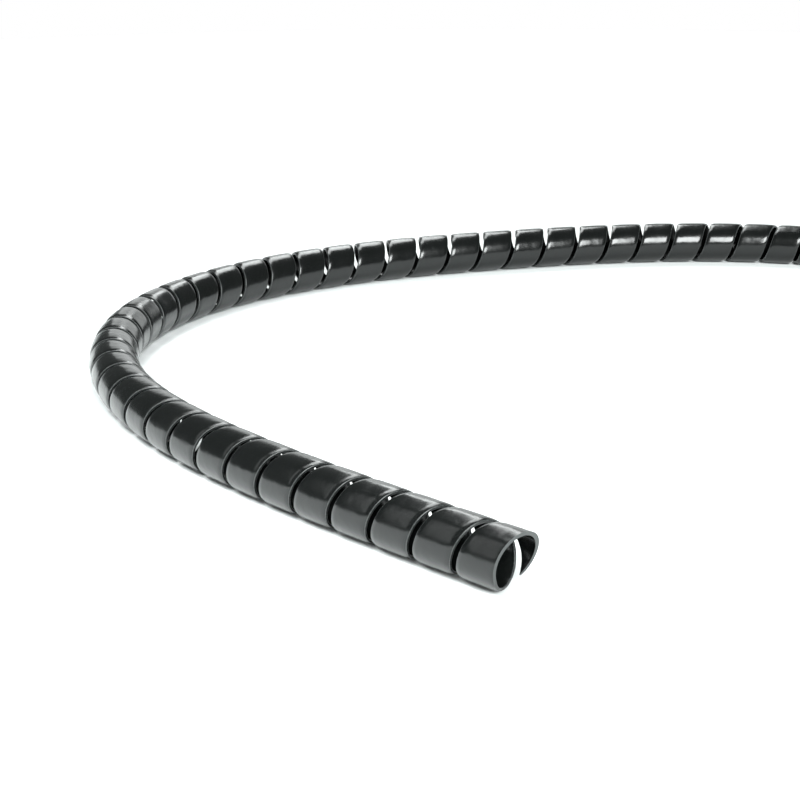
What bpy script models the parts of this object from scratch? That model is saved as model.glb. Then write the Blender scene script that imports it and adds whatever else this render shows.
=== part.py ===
"""Spiral cable wrap: one strip of black plastic wound into a left-handed tube.

The wrap lies on the floor as a wide U. It is wound straight along +X, its two
ends are cut, and the Curve modifier then lays it along the guide curve.
Units are metres.
"""
import math

import bmesh
import bpy
import numpy as np
from mathutils import Matrix, Vector

# The wrap as it is sold
LENGTH = 1.0
OUTER_DIAMETER = 0.020
WALL = 0.0014
PITCH = 0.0175
SLIT = 0.0023

# Angles round the tube, from the inside of the bend and up over the top: where the
# leading edge meets the start of the tube, and where the strip is cut off
SLIT_PHASE = math.radians(20.5)
STRIP_START = math.radians(-50.0)

# The near end's two cuts: the trimmed rim of the first turn, and the slanting end
# of the strip at the back. Each has its place on the axis, its lean and its swing
RIM_CUT = 0.0078
RIM_CUT_LEAN = math.radians(9.2)
RIM_CUT_SWING = math.radians(-5.7)
END_CUT = 0.0097
END_CUT_LEAN = math.radians(20.0)
END_CUT_SWING = math.radians(-5.1)
END_CUT_SIDE = 0.001
END_CUT_BELOW = 0.0085

# How it lies: a short straight start, then the radius of the bend at each distance
# along it. After the last one the bend eases out until the far leg runs back
# parallel to the near end
NEAR_STRAIGHT = 0.030
BEND = (
    (0.140, 0.481),
    (0.240, 0.180),
    (0.340, 0.142),
    (0.440, 0.206),
    (0.560, 0.769),
    (0.710, 0.168),
)
HEADING = math.pi
HEADING_CHANGE = math.pi

# Fineness of the faceted solid and of its guide curve
STEPS_PER_TURN = 20
GUIDE_STEP = 0.002

OUTER_RADIUS = OUTER_DIAMETER / 2
INNER_RADIUS = OUTER_RADIUS - WALL
STRIP_WIDTH = PITCH - SLIT


def clear_scene():
    for item in list(bpy.data.objects):
        bpy.data.objects.remove(item, do_unlink=True)


def new_collection(name):
    collection = bpy.data.collections.new(name)
    bpy.context.scene.collection.children.link(collection)
    return collection


def gloss_black():
    material = bpy.data.materials.new("gloss_black_plastic")
    material.use_nodes = True
    shader = material.node_tree.nodes["Principled BSDF"]
    shader.inputs["Base Color"].default_value = (0.012, 0.013, 0.014, 1.0)
    shader.inputs["Roughness"].default_value = 0.22
    shader.inputs["Metallic"].default_value = 0.0
    return material


def bend_stations():
    """Distances along the wrap and the curvature at each, the last one straight."""
    distances = [NEAR_STRAIGHT] + [distance for distance, radius in BEND]
    curvatures = [0.0] + [1 / radius for distance, radius in BEND]
    turned = np.trapz(curvatures, distances)
    easing = 2 * (HEADING_CHANGE - turned) / curvatures[-1]
    distances.append(distances[-1] + max(easing, GUIDE_STEP))
    curvatures.append(0.0)
    return distances, curvatures


def lie_points():
    """Points of the wrap's axis, one each GUIDE_STEP, a radius above the floor."""
    distances, curvatures = bend_stations()
    point = Vector((0.0, 0.0, OUTER_RADIUS))
    points = [point]
    heading = HEADING
    for index in range(math.ceil(LENGTH / GUIDE_STEP)):
        middle = (index + 0.5) * GUIDE_STEP
        turn = np.interp(middle, distances, curvatures, left=0.0, right=0.0) * GUIDE_STEP
        direction = heading - turn / 2
        point = point + Vector((math.cos(direction), math.sin(direction), 0.0)) * GUIDE_STEP
        points.append(point)
        heading -= turn
    return points


def make_guide(collection):
    data = bpy.data.curves.new("lie_guide", "CURVE")
    data.dimensions = "3D"
    data.twist_mode = "Z_UP"
    points = lie_points()
    spline = data.splines.new("POLY")
    spline.points.add(len(points) - 1)
    for point, place in zip(spline.points, points):
        point.co = (*place, 1.0)
    guide = bpy.data.objects.new("lie_guide", data)
    guide.hide_render = True
    guide.display_type = "WIRE"
    collection.objects.link(guide)
    return guide


def make_strip(collection, material):
    """Wind the strip's section along +X, left-handed, past both cuts."""
    start = PITCH * (STRIP_START - SLIT_PHASE) / (2 * math.pi)
    turns = math.ceil((LENGTH + PITCH - start) / PITCH)
    around = Vector((0.0, -math.cos(STRIP_START), math.sin(STRIP_START)))
    section = [
        Vector((start, 0.0, 0.0)) + around * INNER_RADIUS,
        Vector((start, 0.0, 0.0)) + around * OUTER_RADIUS,
        Vector((start + STRIP_WIDTH, 0.0, 0.0)) + around * OUTER_RADIUS,
        Vector((start + STRIP_WIDTH, 0.0, 0.0)) + around * INNER_RADIUS,
    ]
    mesh = bmesh.new()
    corners = [mesh.verts.new(place) for place in section]
    sides = [mesh.edges.new((corners[i - 1], corners[i])) for i in range(len(corners))]
    bmesh.ops.spin(
        mesh,
        geom=corners + sides,
        cent=(0.0, 0.0, 0.0),
        axis=(1.0, 0.0, 0.0),
        dvec=(PITCH / STEPS_PER_TURN, 0.0, 0.0),
        angle=-2 * math.pi * turns,
        steps=turns * STEPS_PER_TURN,
    )
    rim = [edge for edge in mesh.edges if edge.is_boundary]
    bmesh.ops.holes_fill(mesh, edges=rim, sides=len(section))
    bmesh.ops.recalc_face_normals(mesh, faces=mesh.faces)
    data = bpy.data.meshes.new("spiral_wrap")
    mesh.to_mesh(data)
    mesh.free()
    data.materials.append(material)
    wrap = bpy.data.objects.new("spiral_wrap", data)
    collection.objects.link(wrap)
    return wrap


def make_cutter(name, collection, place, rotation, low, high):
    """A block from its low to its high corner, turned about its own place on the axis."""
    bpy.ops.mesh.primitive_cube_add(size=1.0)
    cutter = bpy.context.object
    cutter.name = name
    for owner in list(cutter.users_collection):
        owner.objects.unlink(cutter)
    collection.objects.link(cutter)
    size = Matrix.Diagonal((*(high - low), 1.0))
    middle = Matrix.Translation((low + high) / 2)
    cutter.matrix_world = Matrix.Translation((place, 0.0, 0.0)) @ rotation @ middle @ size
    cutter.hide_render = True
    cutter.display_type = "WIRE"
    return cutter


def slant(swing, lean):
    """Turn a face that looks along +X sideways by swing and then up by lean."""
    return Matrix.Rotation(swing, 4, "Z") @ Matrix.Rotation(-lean, 4, "Y")


def cut(wrap, cutter):
    boolean = wrap.modifiers.new("cut by " + cutter.name, "BOOLEAN")
    boolean.operation = "DIFFERENCE"
    boolean.solver = "EXACT"
    boolean.object = cutter


def stand_at_origin(wrap, followers):
    """Move the wrap and its guides so that its box stands centred on the origin."""
    bpy.context.view_layer.update()
    solid = wrap.evaluated_get(bpy.context.evaluated_depsgraph_get())
    corners = [solid.matrix_world @ Vector(corner) for corner in solid.bound_box]
    low = Vector([min(corner[axis] for corner in corners) for axis in range(3)])
    high = Vector([max(corner[axis] for corner in corners) for axis in range(3)])
    shift = Vector((-(low.x + high.x) / 2, -(low.y + high.y) / 2, -low.z))
    for item in [wrap] + followers:
        item.location += shift


clear_scene()
wraps = new_collection("spiral_cable_wrap")
guides = new_collection("guides")
guide = make_guide(guides)
wrap = make_strip(wraps, gloss_black())

# Each cutter's reach is well past the tube
reach = 2 * OUTER_DIAMETER + PITCH
rim_cutter = make_cutter(
    "rim_cut",
    guides,
    RIM_CUT,
    slant(RIM_CUT_SWING, RIM_CUT_LEAN),
    Vector((-reach, -reach, -reach)),
    Vector((0.0, reach, reach)),
)
end_cutter = make_cutter(
    "end_cut",
    guides,
    END_CUT,
    slant(END_CUT_SWING, END_CUT_LEAN),
    Vector((-reach, -reach, -END_CUT_BELOW)),
    Vector((0.0, -END_CUT_SIDE, reach)),
)
far_cutter = make_cutter(
    "far_cut",
    guides,
    LENGTH,
    Matrix.Identity(4),
    Vector((0.0, -reach, -reach)),
    Vector((reach, reach, reach)),
)
cutters = [rim_cutter, end_cutter, far_cutter]
for cutter in cutters:
    cut(wrap, cutter)

lay = wrap.modifiers.new("lay along the guide", "CURVE")
lay.object = guide
lay.deform_axis = "POS_X"
stand_at_origin(wrap, [guide] + cutters)
wrap.data.shade_smooth()
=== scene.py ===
"""Spiral cable wrap lying in a wide U on a white studio floor. Units are metres."""
import math

import bmesh
import bpy
import numpy as np
from mathutils import Matrix, Vector


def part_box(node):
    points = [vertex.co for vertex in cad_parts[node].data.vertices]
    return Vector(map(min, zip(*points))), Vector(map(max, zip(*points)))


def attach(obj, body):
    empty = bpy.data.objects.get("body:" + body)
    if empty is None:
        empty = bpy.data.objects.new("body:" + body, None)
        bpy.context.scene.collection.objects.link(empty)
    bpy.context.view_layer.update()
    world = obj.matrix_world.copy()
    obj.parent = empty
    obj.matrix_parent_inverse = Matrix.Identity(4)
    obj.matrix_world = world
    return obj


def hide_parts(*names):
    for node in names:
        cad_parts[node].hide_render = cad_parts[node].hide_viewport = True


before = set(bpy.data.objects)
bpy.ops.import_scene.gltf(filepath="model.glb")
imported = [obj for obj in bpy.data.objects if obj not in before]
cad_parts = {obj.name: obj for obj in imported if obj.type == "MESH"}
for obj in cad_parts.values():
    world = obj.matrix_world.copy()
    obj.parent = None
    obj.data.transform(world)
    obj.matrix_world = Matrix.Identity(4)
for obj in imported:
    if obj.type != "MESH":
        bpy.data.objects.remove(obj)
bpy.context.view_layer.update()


# The camera
# A long lens looks down on the near end of the wrap from about arm's length.
CAMERA_PLACE = (0.3937, -0.5808, 0.2071)
CAMERA_DIP = math.radians(17.80)
CAMERA_BEARING = math.radians(43.64)

camera_data = bpy.data.cameras.new("photo_camera")
camera_data.sensor_width = 36.0
camera_data.lens = 77.39
camera_data.clip_start = 0.01
camera_data.clip_end = 20.0
camera = bpy.data.objects.new("photo_camera", camera_data)
camera.location = CAMERA_PLACE
camera.rotation_euler = (math.pi / 2 - CAMERA_DIP, 0.0, CAMERA_BEARING)
bpy.context.scene.collection.objects.link(camera)
bpy.context.scene.camera = camera


# The floor
# A round sheet of matt white board that the wrap lies on. The lamps burn it out
# to plain white, like the white surroundings past its edge.
FLOOR_RADIUS = 1.4

floor_mesh = bmesh.new()
bmesh.ops.create_circle(floor_mesh, cap_ends=True, radius=FLOOR_RADIUS, segments=96)
floor_data = bpy.data.meshes.new("floor")
floor_mesh.to_mesh(floor_data)
floor_mesh.free()
floor = bpy.data.objects.new("floor", floor_data)
bpy.context.scene.collection.objects.link(floor)
white_board = bpy.data.materials.new("white_board")
white_board.use_nodes = True
board_shader = white_board.node_tree.nodes["Principled BSDF"]
board_shader.inputs["Base Color"].default_value = (0.865, 0.885, 0.885, 1.0)
board_shader.inputs["Roughness"].default_value = 0.9
board_shader.inputs["Specular IOR Level"].default_value = 0.1
floor_data.materials.append(white_board)


# The studio light
# Soft boxes and a white backdrop round a dim room. The room is dim so that the
# wrap mirrors black above the floor, apart from the boxes and the backdrop. Only
# the camera sees it white.
DIM_ROOM = 0.12
ROOM_COLOUR = (0.93, 1.0, 0.98, 1.0)
LAMP_COLOUR = (0.965, 1.0, 0.995)

# What the boxes are aimed at
MIDDLE = (0.0, 0.0, 0.0)
NEAR_END = (0.05, -0.22, 0.0)
FAR_LEG = (0.13, 0.21, 0.0)
FLOOR_IN_FRONT = (-0.1, -0.55, 0.0)

bpy.context.scene.view_settings.view_transform = "Standard"
world = bpy.data.worlds.new("dim_room")
bpy.context.scene.world = world
world.use_nodes = True
room = world.node_tree
room.nodes.clear()
room_out = room.nodes.new("ShaderNodeOutputWorld")
room_mix = room.nodes.new("ShaderNodeMixShader")
room_seen = room.nodes.new("ShaderNodeLightPath")
room_dim = room.nodes.new("ShaderNodeBackground")
room_dim.inputs["Color"].default_value = ROOM_COLOUR
room_dim.inputs["Strength"].default_value = DIM_ROOM
room_white = room.nodes.new("ShaderNodeBackground")
room_white.inputs["Color"].default_value = (1.0, 1.0, 1.0, 1.0)
room_white.inputs["Strength"].default_value = 1.0
room.links.new(room_seen.outputs["Is Camera Ray"], room_mix.inputs["Fac"])
room.links.new(room_dim.outputs["Background"], room_mix.inputs[1])
room.links.new(room_white.outputs["Background"], room_mix.inputs[2])
room.links.new(room_mix.outputs["Shader"], room_out.inputs["Surface"])


def soft_box(name, target, bearing, height_angle, distance, width, height, brightness):
    """A rectangular lamp that faces the target.

    It stands at a bearing from +X and an angle above the floor, both in degrees as
    seen from the target. Its brightness doesn't change with its size.
    """
    level = distance * math.cos(math.radians(height_angle))
    away = Vector((
        level * math.cos(math.radians(bearing)),
        level * math.sin(math.radians(bearing)),
        distance * math.sin(math.radians(height_angle)),
    ))
    data = bpy.data.lights.new(name, "AREA")
    data.shape = "RECTANGLE"
    data.size = width
    data.size_y = height
    data.energy = brightness * width * height * math.pi
    data.color = LAMP_COLOUR
    lamp = bpy.data.objects.new(name, data)
    lamp.location = Vector(target) + away
    lamp.rotation_euler = (-away).to_track_quat("-Z", "Y").to_euler()
    bpy.context.scene.collection.objects.link(lamp)
    return lamp


soft_box("right_box", FAR_LEG, -36.5, 30.0, 2.0, 0.9, 1.0, 25.0)
soft_box("low_back_box", NEAR_END, 133.0, 27.0, 2.4, 0.34, 0.36, 7.5)
soft_box("high_box", MIDDLE, 178.0, 66.0, 2.2, 0.9, 0.5, 4.5)
soft_box("backdrop", MIDDLE, 128.0, 12.0, 3.2, 2.8, 1.2, 1.4)

# The back box hangs level, with its face to the floor
back_box = soft_box("back_box", MIDDLE, 135.0, 49.0, 2.15, 0.60, 1.9, 8.0)
back_box.rotation_euler = (0.0, 0.0, math.radians(30.0))

# The left box is a strip that leans, so that its mirror image follows the near end
left_box = soft_box("left_box", NEAR_END, -135.0, 33.0, 1.6, 0.32, 1.5, 1.4)
left_box.rotation_euler.rotate_axis("Z", math.radians(31.0))

# The floor box whitens the floor in front, and the wrap doesn't mirror it
floor_box = soft_box("floor_box", FLOOR_IN_FRONT, 0.0, 90.0, 0.45, 0.3, 0.3, 18.0)
floor_box.visible_glossy = False


# The wrap
# One strip of gloss black polyethylene, extruded flat with rounded edges, wound
# left-handed on a rod while warm, and cut to length. The near end is trimmed.
LENGTH = 1.0
OUTER_RADIUS = 0.010
INNER_RADIUS = 0.0086
PITCH = 0.0175
SLIT = 0.0023
SLIT_PHASE = math.radians(20.5)
STRIP_START = math.radians(-50.0)
STEPS_PER_TURN = 58

# The near end's two cuts: the trimmed rim of the first turn, and the slanting end
# of the strip at the back. Each has its place on the axis, its lean and its swing.
# The second one starts to the side of the axis and ends below it
RIM_CUT = 0.0078
RIM_CUT_LEAN = math.radians(9.2)
RIM_CUT_SWING = math.radians(-5.7)
END_CUT = 0.0097
END_CUT_LEAN = math.radians(20.0)
END_CUT_SWING = math.radians(-5.1)
END_CUT_SIDE = 0.001
END_CUT_BELOW = 0.0085

# The strip's face is slightly crowned and falls away in a soft shoulder to each
# rounded edge. Its inner edges are rounded less
CROWN = 0.00012
SHOULDER_WIDTH = 0.0022
SHOULDER_STEPS = 4
OUTER_EDGE = 0.00032
OUTER_EDGE_SLOPE = math.radians(18.0)
OUTER_EDGE_STEPS = 4
INNER_EDGE = 0.00022
INNER_EDGE_STEPS = 2
FACE_STEPS = 4

# How it lies: a short straight start, then the bend's radius at each distance
# along the wrap, and then straight again once it runs back beside its start
NEAR_STRAIGHT = 0.030
BEND = (
    (0.140, 0.481),
    (0.240, 0.180),
    (0.340, 0.142),
    (0.440, 0.206),
    (0.560, 0.769),
    (0.710, 0.168),
)
GUIDE_STEP = 0.002


def bend_stations():
    """Distances along the wrap and the curvature at each, the last one straight."""
    distances = [NEAR_STRAIGHT] + [distance for distance, radius in BEND]
    curvatures = [0.0] + [1 / radius for distance, radius in BEND]
    turned = np.trapz(curvatures, distances)
    distances.append(distances[-1] + 2 * (math.pi - turned) / curvatures[-1])
    curvatures.append(0.0)
    return distances, curvatures


def lie_points():
    """Points of the wrap's axis, a radius above the floor, from the near end to the far end."""
    distances, curvatures = bend_stations()
    point = Vector((0.0, 0.0, OUTER_RADIUS))
    points = [point]
    heading = math.pi
    for index in range(math.ceil(LENGTH / GUIDE_STEP)):
        middle = (index + 0.5) * GUIDE_STEP
        turn = np.interp(middle, distances, curvatures, left=0.0, right=0.0) * GUIDE_STEP
        direction = heading - turn / 2
        point = point + Vector((math.cos(direction), math.sin(direction), 0.0)) * GUIDE_STEP
        points.append(point)
        heading -= turn
    return points


def strip_section():
    """Points round the strip's section: distance along the tube, then out from its axis."""
    width = PITCH - SLIT
    edge_width = OUTER_EDGE * (1 - math.sin(OUTER_EDGE_SLOPE))
    shoulder = SHOULDER_WIDTH - edge_width
    shoulder_drop = shoulder * math.tan(OUTER_EDGE_SLOPE) / 2
    outer = []
    for step in range(OUTER_EDGE_STEPS):
        tilt = math.pi / 2 + (OUTER_EDGE_SLOPE - math.pi / 2) * step / OUTER_EDGE_STEPS
        below = OUTER_EDGE * (math.cos(OUTER_EDGE_SLOPE) - math.cos(tilt))
        outer.append((OUTER_EDGE * (1 - math.sin(tilt)), shoulder_drop + below))
    for step in range(SHOULDER_STEPS + 1):
        part = step / SHOULDER_STEPS
        outer.append((edge_width + shoulder * part, shoulder_drop * (1 - part) ** 2))
    side_count = len(outer)
    for step in range(1, FACE_STEPS):
        inward = SHOULDER_WIDTH + (width - 2 * SHOULDER_WIDTH) * step / FACE_STEPS
        outer.append((inward, 0.0))
    outer += [(width - inward, drop) for inward, drop in reversed(outer[:side_count])]
    points = []
    for along, drop in outer:
        crown = CROWN * (2 * along / width - 1) ** 2
        points.append(Vector((along, OUTER_RADIUS - crown - drop)))
    inner = []
    for step in range(INNER_EDGE_STEPS + 1):
        angle = math.pi / 2 * step / INNER_EDGE_STEPS
        inner.append((INNER_EDGE * (1 - math.cos(angle)), INNER_EDGE * (1 - math.sin(angle))))
    points += [Vector((width - inward, INNER_RADIUS + rise)) for inward, rise in inner]
    points += [Vector((inward, INNER_RADIUS + rise)) for inward, rise in reversed(inner)]
    return points


def section_distances(section):
    """The distance round the section to each of its points, and right round it."""
    distances = [0.0]
    for index in range(len(section)):
        step = section[(index + 1) % len(section)] - section[index]
        distances.append(distances[-1] + step.length)
    return distances


def wind_strip(section):
    """Wind the section along +X, left-handed, past both cuts.

    Its map gives each face's place along the strip and its distance round the
    strip's section from the leading edge, in metres.
    """
    start = PITCH * (STRIP_START - SLIT_PHASE) / (2 * math.pi)
    steps = math.ceil((LENGTH + PITCH - start) / PITCH) * STEPS_PER_TURN
    places = []
    for step in range(steps + 1):
        angle = STRIP_START + 2 * math.pi * step / STEPS_PER_TURN
        along = start + PITCH * step / STEPS_PER_TURN
        for point in section:
            across = -math.cos(angle) * point.y
            places.append((along + point.x, across, math.sin(angle) * point.y))
    count = len(section)
    last = steps * count
    faces = [tuple(reversed(range(count))), tuple(range(last, last + count))]
    for step in range(steps):
        for index in range(count):
            near = step * count + index
            beside = step * count + (index + 1) % count
            faces.append((near, beside, beside + count, near + count))
    data = bpy.data.meshes.new("wrap_strip")
    data.from_pydata(places, [], faces)
    turn_step = math.hypot(2 * math.pi * OUTER_RADIUS, PITCH) / STEPS_PER_TURN
    distances = section_distances(section)
    strip_map = [(0.0, 0.0)] * (2 * count)
    for step in range(steps):
        for index in range(count):
            here, ahead = step * turn_step, (step + 1) * turn_step
            strip_map += [
                (here, distances[index]),
                (here, distances[index + 1]),
                (ahead, distances[index + 1]),
                (ahead, distances[index]),
            ]
    data.uv_layers.new(name="strip_map").uv.foreach_set("vector", np.ravel(strip_map))
    return data


def cutter(name, place, rotation, low, high):
    """A hidden block from its low to its high corner, turned about its place on the axis.

    Its map is below zero all over, and so marks the faces that it cuts.
    """
    mesh = bmesh.new()
    bmesh.ops.create_cube(mesh, size=1.0)
    size = Matrix.Diagonal((*(high - low), 1.0))
    middle = Matrix.Translation((low + high) / 2)
    mesh.transform(Matrix.Translation((place, 0.0, 0.0)) @ rotation @ middle @ size)
    data = bpy.data.meshes.new(name)
    mesh.to_mesh(data)
    mesh.free()
    cut_map = np.full(len(data.loops) * 2, -1.0)
    data.uv_layers.new(name="strip_map").uv.foreach_set("vector", cut_map)
    block = bpy.data.objects.new(name, data)
    bpy.context.scene.collection.objects.link(block)
    return block


def slant(swing, lean):
    """Turn a face that looks along +X sideways by swing and then up by lean."""
    return Matrix.Rotation(swing, 4, "Z") @ Matrix.Rotation(-lean, 4, "Y")


section = strip_section()
wrap = bpy.data.objects.new("wrap_strip", wind_strip(section))
bpy.context.scene.collection.objects.link(wrap)

# The trimmed rim, the slanting end of the strip behind it, and the square far end.
# Each cutter's reach is well past the tube
REACH = 0.06
cutters = [
    cutter(
        "rim_cut",
        RIM_CUT,
        slant(RIM_CUT_SWING, RIM_CUT_LEAN),
        Vector((-REACH, -REACH, -REACH)),
        Vector((0.0, REACH, REACH)),
    ),
    cutter(
        "end_cut",
        END_CUT,
        slant(END_CUT_SWING, END_CUT_LEAN),
        Vector((-REACH, -REACH, -END_CUT_BELOW)),
        Vector((0.0, -END_CUT_SIDE, REACH)),
    ),
    cutter(
        "far_cut",
        LENGTH,
        Matrix.Identity(4),
        Vector((0.0, -REACH, -REACH)),
        Vector((REACH, REACH, REACH)),
    ),
]
for block in cutters:
    boolean = wrap.modifiers.new("cut by " + block.name, "BOOLEAN")
    boolean.operation = "DIFFERENCE"
    boolean.solver = "MANIFOLD"
    boolean.object = block

guide_data = bpy.data.curves.new("lie_guide", "CURVE")
guide_data.dimensions = "3D"
guide_data.twist_mode = "Z_UP"
guide_points = lie_points()
guide_spline = guide_data.splines.new("POLY")
guide_spline.points.add(len(guide_points) - 1)
for spline_point, place in zip(guide_spline.points, guide_points):
    spline_point.co = (*place, 1.0)
guide = bpy.data.objects.new("lie_guide", guide_data)
bpy.context.scene.collection.objects.link(guide)
lay = wrap.modifiers.new("lay along the guide", "CURVE")
lay.object = guide
lay.deform_axis = "POS_X"

# The modifiers are applied and the guides go, so that only the strip is left
bpy.context.view_layer.update()
laid = wrap.evaluated_get(bpy.context.evaluated_depsgraph_get())
laid_data = bpy.data.meshes.new_from_object(laid)
laid_data.name = "wrap_strip"
wrap.modifiers.clear()
wrap.data = laid_data
for helper in cutters + [guide]:
    bpy.data.objects.remove(helper)

# It is set down where the solid lies: centred on the solid's box, on the floor
places = np.zeros(len(laid_data.vertices) * 3)
laid_data.vertices.foreach_get("co", places)
places = places.reshape(-1, 3)
low, high = Vector(places.min(axis=0)), Vector(places.max(axis=0))
solid_low, solid_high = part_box("spiral_wrap")
middle = (solid_low + solid_high) / 2 - (low + high) / 2
laid_data.transform(Matrix.Translation((middle.x, middle.y, -low.z)))

# The winding is shaded smooth, rounded edges too, and the edges of the cuts are sharp
SHARP_EDGE = math.radians(50.0)
laid_data.shade_smooth()
laid_data.set_sharp_from_angle(angle=SHARP_EDGE)

# Gloss black polyethylene, with a surface as it comes out of the die: faint lines
# along the strip, a slow ripple and a gloss that varies. The strip's four edges are
# painted pale, partly as rubbed wear and partly as a painted highlight on their rounded
# edges; the cut ends are matt with knife marks, and a little dust has settled
PLAIN_BLACK = (0.0036, 0.0042, 0.0041, 1.0)
# The pale colour of wear, scuffs and dust; on the rounded edges it is also a painted highlight
WORN_AND_HIGHLIGHT_BLACK = (0.060, 0.064, 0.064, 1.0)
CUT_BLACK = (0.043, 0.047, 0.047, 1.0)
RELIEF_HEIGHT = 0.0001

# The edge rub, partly wear and partly a painted highlight, is full this near to
# the middle of an edge, and ends this far from it
RUB_AND_HIGHLIGHT_CORE = 0.0001
RUB_AND_HIGHLIGHT_REACH = 0.0005

gloss_black = bpy.data.materials.new("gloss_black_polyethylene")
gloss_black.use_nodes = True
black_tree = gloss_black.node_tree
black_shader = black_tree.nodes["Principled BSDF"]
black_shader.inputs["IOR"].default_value = 1.5


def black_node(kind, settings, **links):
    """A node of the black material, with its settings, and its inputs linked by name."""
    node = black_tree.nodes.new(kind)
    for name, value in settings.items():
        if name in node.inputs:
            node.inputs[name].default_value = value
        else:
            setattr(node, name, value)
    for name, source in links.items():
        black_tree.links.new(source, node.inputs[name.replace("_", " ")])
    return node


def stretched(source, along, across, depth):
    """A map or place scaled by different amounts, so that a noise in it is drawn out."""
    scaled = black_node("ShaderNodeMapping", {"Scale": (along, across, depth)}, Vector=source)
    return scaled.outputs["Vector"]


def noise(source, scale, detail, roughness=0.5):
    """Noise from 0 to 1 at a number of waves to a metre of its source."""
    settings = {"Scale": scale, "Detail": detail, "Roughness": roughness}
    return black_node("ShaderNodeTexNoise", settings, Vector=source).outputs["Fac"]


def ramp(source, low, high, at_low=0.0, at_high=1.0):
    """The source's range from low to high mapped smoothly from at_low to at_high."""
    settings = {
        "interpolation_type": "SMOOTHSTEP",
        "From Min": low,
        "From Max": high,
        "To Min": at_low,
        "To Max": at_high,
    }
    return black_node("ShaderNodeMapRange", settings, Value=source).outputs["Result"]


def combined(operation, first, second):
    """Two values added, multiplied and so on. Either one may be a plain number."""
    node = black_node("ShaderNodeMath", {"operation": operation})
    for socket, value in zip(node.inputs, (first, second)):
        if isinstance(value, float):
            socket.default_value = value
        else:
            black_tree.links.new(value, socket)
    return node.outputs["Value"]


def colour_between(share, first, second):
    """A colour from first to second as share goes from 0 to 1.

    The first colour may come from another node. The colour sockets are found by
    their kind, because the node's sockets for numbers have the same names.
    """
    node = black_node("ShaderNodeMix", {"data_type": "RGBA"}, Factor=share)
    colours = [socket for socket in node.inputs if socket.type == "RGBA"]
    for socket, colour in zip(colours, (first, second)):
        if isinstance(colour, tuple):
            socket.default_value = colour
        else:
            black_tree.links.new(colour, socket)
    return next(socket for socket in node.outputs if socket.type == "RGBA")


strip_map = black_node("ShaderNodeUVMap", {"uv_map": "strip_map"}).outputs["UV"]
strip_parts = black_node("ShaderNodeSeparateXYZ", {}, Vector=strip_map)
round_section = strip_parts.outputs["Y"]
surface = black_node("ShaderNodeTexCoord", {}).outputs["Object"]

# The middles of the strip's four rounded edges, as distances round its section
distances = section_distances(section)
inner_start = len(section) - 2 * (INNER_EDGE_STEPS + 1)
rounded_edges = (
    distances[OUTER_EDGE_STEPS // 2],
    distances[inner_start - 1 - OUTER_EDGE_STEPS // 2],
    distances[inner_start + INNER_EDGE_STEPS // 2],
    distances[len(section) - 1 - INNER_EDGE_STEPS // 2],
)
edge_distance = 1.0
for rounded_edge in rounded_edges:
    beside_edge = combined("ABSOLUTE", combined("SUBTRACT", round_section, rounded_edge), 0.0)
    edge_distance = combined("MINIMUM", edge_distance, beside_edge)

cut_face = ramp(round_section, 0.0, -0.5)
die_lines = noise(stretched(strip_map, 12.0, 2600.0, 1.0), 1.0, 2.0)
ripple = noise(surface, 260.0, 1.0)
clouds = noise(stretched(strip_map, 30.0, 90.0, 1.0), 1.0, 3.0)
grain = noise(surface, 2400.0, 3.0, 0.6)
# The edge rub, broken up by grain: partly wear and partly a painted highlight on the rounded
# edges
rub_and_highlight_grain = ramp(grain, 0.36, 0.60, 0.25, 1.0)
rub_and_edge_highlight = combined("MULTIPLY", ramp(edge_distance, RUB_AND_HIGHLIGHT_REACH, RUB_AND_HIGHLIGHT_CORE), rub_and_highlight_grain)
scuffs = combined(
    "MULTIPLY",
    ramp(noise(stretched(surface, 70.0, 900.0, 900.0), 1.0, 3.0), 0.62, 0.72),
    ramp(clouds, 0.5, 0.62),
)
dust = ramp(noise(surface, 1500.0, 1.0), 0.80, 0.84)
knife_grooves = noise(stretched(surface, 500.0, 500.0, 7000.0), 1.0, 2.0)
knife_marks = combined("MULTIPLY", knife_grooves, cut_face)
# Rub, scuffs and dust together; the rub on the edges is partly a painted highlight
wear_and_edge_highlight = 0.0
for pale_mark, strength in ((rub_and_edge_highlight, 0.75), (scuffs, 0.10), (dust, 0.30)):
    wear_and_edge_highlight = combined("MAXIMUM", wear_and_edge_highlight, combined("MULTIPLY", pale_mark, strength))
matt = combined("MAXIMUM", wear_and_edge_highlight, cut_face)

# The base colour is paler where worn, which on the edges is also a painted highlight, and matt
# grey on the cut ends
colour = colour_between(cut_face, colour_between(wear_and_edge_highlight, PLAIN_BLACK, WORN_AND_HIGHLIGHT_BLACK), CUT_BLACK)
black_tree.links.new(colour, black_shader.inputs["Base Color"])

gloss = combined("ADD", ramp(clouds, 0.3, 0.7, 0.17, 0.24), combined("MULTIPLY", die_lines, 0.02))
roughness = combined("ADD", gloss, combined("MULTIPLY", matt, 0.24))
black_tree.links.new(roughness, black_shader.inputs["Roughness"])

relief = 0.0
for form, height in ((die_lines, 0.012), (ripple, 1.0), (knife_marks, 0.15), (wear_and_edge_highlight, 0.02)):
    relief = combined("ADD", relief, combined("MULTIPLY", form, height))
settings = {"Strength": 1.0, "Distance": RELIEF_HEIGHT}
bump = black_node("ShaderNodeBump", settings, Height=relief)
black_tree.links.new(bump.outputs["Normal"], black_shader.inputs["Normal"])

laid_data.materials.clear()
laid_data.materials.append(gloss_black)
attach(wrap, "root")
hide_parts("spiral_wrap")
